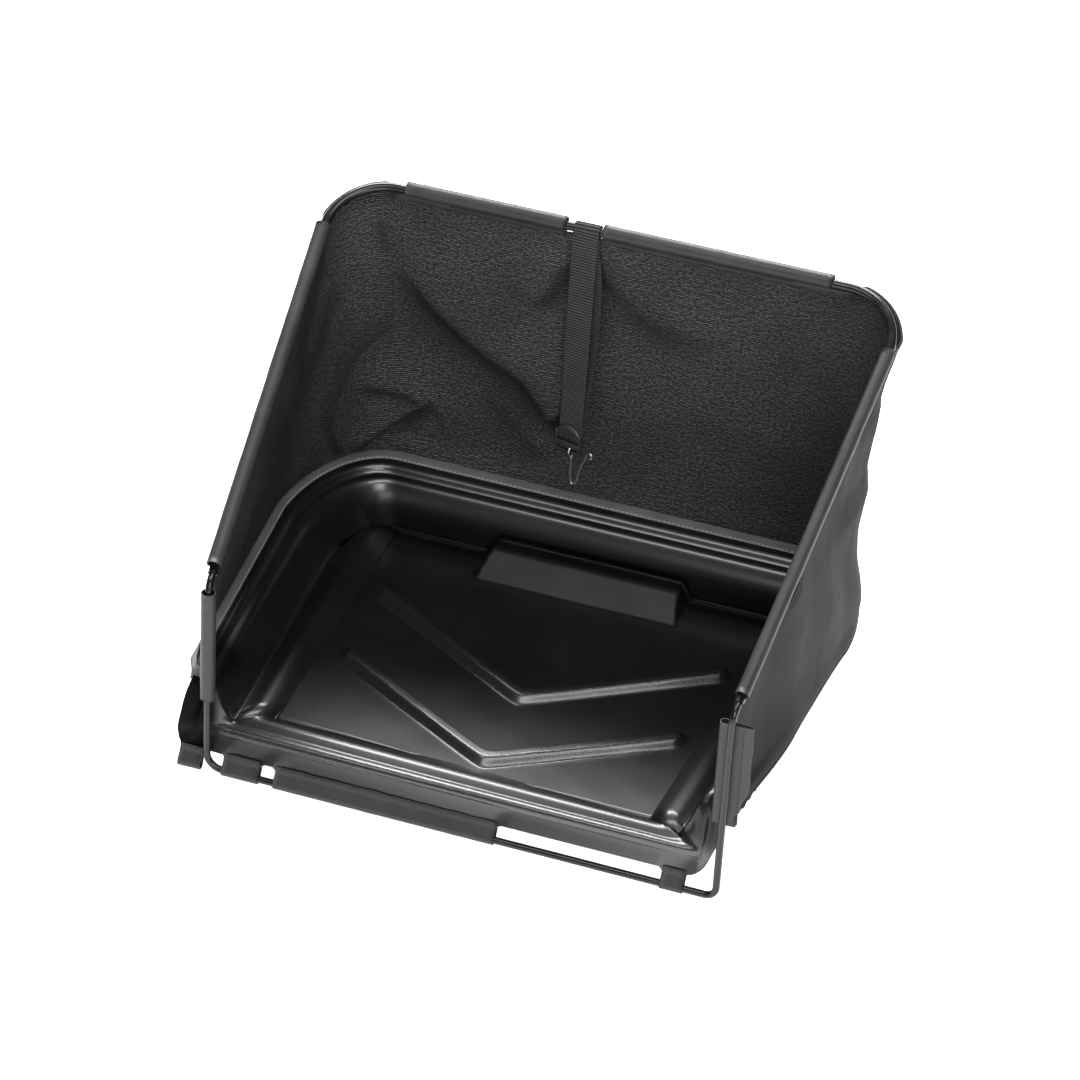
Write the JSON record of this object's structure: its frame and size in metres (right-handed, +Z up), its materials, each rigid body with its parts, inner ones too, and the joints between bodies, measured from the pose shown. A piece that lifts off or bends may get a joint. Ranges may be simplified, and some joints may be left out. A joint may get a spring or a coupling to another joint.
{
  "type": "mower grass collection bag",
  "caption": "Grass collection bag for a push reel mower: moulded ribbed tray, wire and tube frame, woven fabric sides and back, hanging strap with a wire hook.",
  "frame": {"origin": "middle of the footprint, on the ground under the resting bag", "axes": "+Z up, open front towards -Y, back panel towards +Y, +X to the right seen from the open front"},
  "size_m": [0.4523, 0.3475, 0.3052],
  "materials": {
    "tray_plastic": "gloss black, fine grain on the front bevels",
    "frame_paint": "satin black paint on steel",
    "bag_cloth": "black woven fabric with light flecks",
    "vinyl": "dark grey vinyl-coated cloth",
    "hem_tape": "dark grey woven tape",
    "webbing": "black woven webbing",
    "buckle_plastic": "black moulded plastic",
    "hook_wire": "dull zinc plated wire"
  },
  "bodies": {
    "bag": {"lower_frame_rod": "frame_paint", "upper_frame_tube": "frame_paint", "tray": "tray_plastic", "front_tab_1": "vinyl", "front_tab_2": "vinyl", "front_tab_3": "vinyl", "front_tab_4": "vinyl", "rake_sleeve_left": "vinyl", "rake_sleeve_right": "vinyl", "top_sleeve_left": "vinyl", "top_sleeve_right": "vinyl", "upright_sleeve_left": "vinyl", "upright_sleeve_right": "vinyl", "corner_binding_left": "vinyl", "corner_binding_right": "vinyl", "bag_fabric": "bag_cloth", "rim_hem_tape": "hem_tape", "strap_webbing": "webbing", "strap_buckle": "buckle_plastic"},
    "hook": {"strap_hook": "hook_wire"}
  },
  "joints": [
    {"name": "hook_swing", "type": "hinge", "parent": "bag", "child": "hook", "pos_m": [-0.021, 0.14557, 0.10662], "axis": [0.9724, -0.2334, 0], "range_deg": [-80, 30]}
  ]
}
